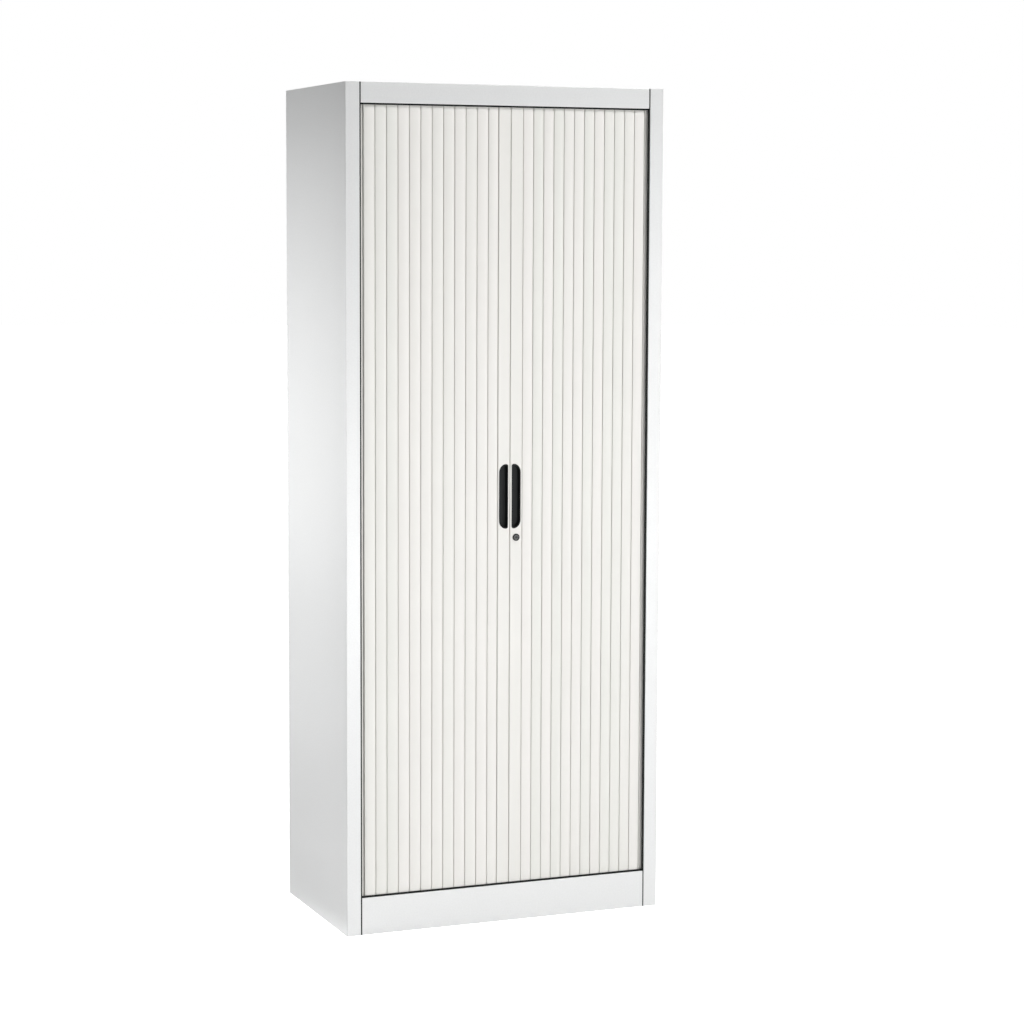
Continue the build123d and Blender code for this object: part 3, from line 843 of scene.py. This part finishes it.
def lock_ring():
    """The black ring, with its barrel behind it and a bore for the plug."""
    low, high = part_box("lock_housing")
    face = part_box("right_leading_slat")[0][1]
    radius = (high[0] - low[0]) / 2
    bore = plug_radius + plug_play
    edge = arc((radius - ring_round, low[1] + ring_round), ring_round, 0, -90, round_steps)
    mouth_centre = (bore + ring_bore_round, low[1] + ring_bore_round)
    mouth = arc(mouth_centre, ring_bore_round, -90, -180, round_steps)
    profile = [(bore, high[1]), (barrel_radius, high[1]), (barrel_radius, face), (radius, face)]
    profile += edge + mouth
    mesh = bmesh.new()
    centre = lock_axis()
    loops = [[swing(centre, r, y, angle) for r, y in profile] for angle in full_turn(lathe_steps)]
    loft(mesh, loops, closed_path=True)
    piece = finish_piece("lock_ring", mesh, ring_metal)
    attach(piece, "right_leaf")
    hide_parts("lock_housing")
    return piece


ring = lock_ring()
print(ring.name, "ready")

# %% [markdown]
# ## The lock's plug
# The plug has a dished face, a dark well in the middle and a keyway across it. It is spun like the ring,
# and the keyway is cut afterwards with a boolean, as a broach cuts the real one. The dish matters more
# than it seems: the side that faces the key light is bright and the other isn't, and that half moon is
# what makes a lock look like a lock.

# %% Lock plug
plug_rim_round = 0.3 * millimetre
dish_rim = 4.7 * millimetre
dish_floor = 2.7 * millimetre
dish_depth = 1.6 * millimetre
well_radius = 2.5 * millimetre
well_depth = 7.0 * millimetre
keyway_width = 1.4 * millimetre
keyway_height = 7.0 * millimetre
keyway_depth = 9.0 * millimetre
drive_side = 6.0 * millimetre


def box_loops(centre, half_across, half_up, y0, y1):
    """Two rectangular loops for a bar along Y."""
    corners = ((1, 1), (-1, 1), (-1, -1), (1, -1))
    across, up = centre
    return [[(across + u * half_across, y, up + v * half_up) for u, v in corners] for y in (y0, y1)]


def cut_with(piece, loops):
    """Cuts a bar out of a piece for good."""
    mesh = bmesh.new()
    loft(mesh, loops)
    tool = finish_piece(piece.name + "_cutter", mesh, piece.data.materials[0])
    cut = piece.modifiers.new("cut", "BOOLEAN")
    cut.object = tool
    cut.operation = "DIFFERENCE"
    cut.solver = "EXACT"
    graph = bpy.context.evaluated_depsgraph_get()
    result = bpy.data.meshes.new_from_object(piece.evaluated_get(graph))
    piece.modifiers.clear()
    piece.data = result
    result.set_sharp_from_angle(angle=smooth_below)
    bpy.data.objects.remove(tool)


def add_bar(piece, loops):
    """Adds a bar to a piece's mesh, in the same finish."""
    mesh = bmesh.new()
    mesh.from_mesh(piece.data)
    loft(mesh, loops)
    bmesh.ops.recalc_face_normals(mesh, faces=mesh.faces[:])
    mesh.to_mesh(piece.data)
    mesh.free()
    piece.data.set_sharp_from_angle(angle=smooth_below)


def dished_plug():
    """The turning plug, with a dished face, a well, a keyway and a square drive behind."""
    low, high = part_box("lock_plug")
    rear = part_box("lock_housing")[1][1]
    front = low[1]
    rim_centre = (plug_radius - plug_rim_round, front + plug_rim_round)
    rim = arc(rim_centre, plug_rim_round, 0, -90, round_steps)
    profile = [(plug_radius, rear)] + rim + [(dish_rim, front), (dish_floor, front + dish_depth)]
    profile += [(well_radius, front + well_depth)]
    centre = lock_axis()
    piece = spin("lock_dished_plug", profile, centre, plug_metal)
    keyway = (centre, keyway_width / 2, keyway_height / 2, front - plug_rim_round, front + keyway_depth)
    cut_with(piece, box_loops(*keyway))
    add_bar(piece, box_loops(centre, drive_side / 2, drive_side / 2, rear, high[1]))
    return piece


plug = dished_plug()
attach(plug, "lock")
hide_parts("lock_plug")
print(plug.name, "has", len(plug.data.polygons), "faces")

# %% [markdown]
# ## Floor
# The picture was taken on white, with no edge between floor and background. A very wide floor does the
# same, if it is as bright as the sky behind it. The trouble is that a floor that glows also lights the
# cabinet from below, and then the paint loses its soft change from grey to white. So the floor's glow
# depends on who looks. The camera sees it nearly white, a shade less beside the cabinet, so that a faint
# shadow stays. Glossy paint sees a painted reflection: a glow that only reflections see. It is bright in
# front of the cabinet, where the real floor was brighter, and dimmer behind it and at its left side.
# Everything else sees a plain pale floor.

# %% Floor
floor_radius = 40.0
floor_sides = 96
floor_seen_near = 0.80
floor_seen_far = 1.1
floor_near_distance = 0.8
floor_far_distance = 3.0
# painted reflection: how brightly the floor glows in reflections only, in front, behind and at the left
painted_reflection_front = 1.9
painted_reflection_back = 0.28
painted_reflection_turn = 0.6
painted_reflection_at_left = 0.26
painted_reflection_fade_end = -0.46
painted_reflection_fade_start = -0.41
floor_tones = (0.86, 0.86, 0.86), (0.88, 0.88, 0.88)
floor_roughness = 0.7, 0.8
floor_patch_size = 1.5
white = (1.0, 1.0, 1.0, 1.0)


def floor_distance(tree):
    """Distance from the cabinet over the floor, and the place as three numbers."""
    place = add_node(tree, "ShaderNodeTexCoord")
    point = place.outputs["Object"]
    distance = add_node(tree, "ShaderNodeVectorMath", operation="LENGTH", inputs={0: point})
    split = add_node(tree, "ShaderNodeSeparateXYZ", inputs={0: point})
    return distance.outputs["Value"], split.outputs


def smooth_range(tree, value, low, high, at_low, at_high):
    """A number that eases from one value to another as an input goes from low to high."""
    node = add_node(tree, "ShaderNodeMapRange", interpolation_type="SMOOTHSTEP", inputs={
        "Value": value,
        "From Min": low,
        "From Max": high,
        "To Min": at_low,
        "To Max": at_high,
    })
    return node.outputs["Result"]


def add_products(tree, first, second):
    """The sum of two products, each given as a pair of sockets."""
    product = add_node(tree, "ShaderNodeMath", operation="MULTIPLY", inputs={0: first[0], 1: first[1]})
    total = add_node(tree, "ShaderNodeMath", operation="MULTIPLY_ADD", inputs={
        0: second[0],
        1: second[1],
        2: product.outputs[0],
    })
    return total.outputs[0]


def pale_floor():
    """A very wide round floor under the cabinet."""
    turn = full_turn(floor_sides)
    points = [(floor_radius * math.cos(a), floor_radius * math.sin(a), 0.0) for a in turn]
    mesh = bpy.data.meshes.new("floor")
    mesh.from_pydata(points, [], [list(range(floor_sides))])
    floor = bpy.data.objects.new("floor", mesh)
    bpy.context.scene.collection.objects.link(floor)
    material, tree, shader = start_material("pale_floor", Specular_IOR_Level=0.2)
    patches = place_group(tree, soft_patches, Size=floor_patch_size)
    vary_colour(tree, shader, patches.outputs["Mask"], *floor_tones)
    vary_roughness(tree, shader, patches.outputs["Mask"], *floor_roughness)
    distance, place = floor_distance(tree)
    ring = (floor_near_distance, floor_far_distance)
    depth = (-painted_reflection_turn, painted_reflection_turn)
    beside = (painted_reflection_fade_end, painted_reflection_fade_start)
    seen = smooth_range(tree, distance, *ring, floor_seen_near, floor_seen_far)
    # Painted reflection: a glow that only glossy rays see, bright in front of the cabinet, dim behind it
    # and at its left side.
    painted_reflection_by_depth = smooth_range(tree, place["Y"], *depth, painted_reflection_front, painted_reflection_back)
    painted_reflection_glow = smooth_range(tree, place["X"], *beside, painted_reflection_at_left, painted_reflection_by_depth)
    ray = add_node(tree, "ShaderNodeLightPath").outputs
    glow = add_products(tree, (ray["Is Camera Ray"], seen), (ray["Is Glossy Ray"], painted_reflection_glow))
    tree.links.new(glow, shader.inputs["Emission Strength"])
    shader.inputs["Emission Color"].default_value = white
    mesh.materials.append(material)
    return floor


floor = pale_floor()
print(floor.name, "is", floor_radius * 2, "m across")

# %% [markdown]
# ## Lights
# Soft boxes are large areas whose shadows have no hard edge. The key hangs high at the right. It casts
# the narrow shadow of the top panel on the slats' upper ends and the lock's shadow to its lower left. The
# others in front stand low, so that the paint is brightest at half its height, as in the picture. Two
# small ones beside the left panel make the soft glow in its middle. Their powers were balanced by
# rendering each lamp alone and comparing greys. The last two only reach the back and the top, for anybody
# who walks round.

# %% Lights
lights = [
    # name, place, target, width, height, watts
    ("key", (2.6, -2.8, 5.6), (0.0, -0.2, 1.2), 0.5, 0.5, 222.0),
    ("right_near", (1.3, -2.2, 1.5), (0.2, -0.2, 1.3), 0.8, 0.8, 4.6),
    ("right_low", (2.2, -4.0, 0.5), (0.0, -0.2, 1.0), 2.4, 0.9, 21.0),
    ("front_middle", (0.6, -4.0, 1.3), (0.0, -0.2, 1.0), 1.2, 1.2, 4.5),
    ("front_low", (0.6, -3.6, 0.4), (0.0, -0.2, 1.0), 2.0, 0.7, 15.5),
    ("left_near", (-0.9, -2.0, 1.0), (-0.2, -0.2, 1.0), 0.8, 0.8, 8.8),
    ("side_middle", (-1.5, 0.3, 1.0), (-0.4, 0.0, 1.0), 0.8, 1.0, 9.5),
    ("side_upper", (-1.5, 0.3, 1.3), (-0.4, 0.0, 1.2), 0.8, 0.8, 8.8),
    ("side_graze", (-1.6, 3.2, 1.2), (-0.4, 0.0, 1.1), 1.2, 1.6, 2.8),
    ("back_right", (2.6, 3.2, 2.2), (0.2, 0.2, 1.0), 2.0, 2.0, 60.0),
    ("above", (0.6, 0.9, 4.2), (0.0, 0.0, 1.9), 2.0, 2.0, 20.0),
]
sky_light = 0.05


def softbox(name, place, target, width, height, watts):
    """A rectangular light that faces its target."""
    data = bpy.data.lights.new(name, "AREA")
    data.shape = "RECTANGLE"
    data.size = width
    data.size_y = height
    data.energy = watts
    lamp = bpy.data.objects.new(name, data)
    lamp.location = place
    lamp.rotation_mode = "QUATERNION"
    lamp.rotation_quaternion = (Vector(target) - Vector(place)).to_track_quat("-Z", "Y")
    bpy.context.scene.collection.objects.link(lamp)


def white_sky():
    """The surroundings: white to the camera, and a weak even light on the cabinet."""
    world = bpy.data.worlds.new("white_sky")
    world.use_nodes = True
    tree = world.node_tree
    tree.nodes.clear()
    seen = add_node(tree, "ShaderNodeLightPath")
    strength = add_node(tree, "ShaderNodeMapRange", inputs={
        "Value": seen.outputs["Is Camera Ray"],
        "To Min": sky_light,
        "To Max": 1.0,
    })
    sky = add_node(tree, "ShaderNodeBackground", inputs={"Strength": strength.outputs["Result"]})
    sky.inputs["Color"].default_value = white
    output = add_node(tree, "ShaderNodeOutputWorld")
    tree.links.new(sky.outputs["Background"], output.inputs["Surface"])
    bpy.context.scene.world = world


for lamp in lights:
    softbox(*lamp)
white_sky()
bpy.context.scene.view_settings.view_transform = "Standard"
print("lights:", len(lights))
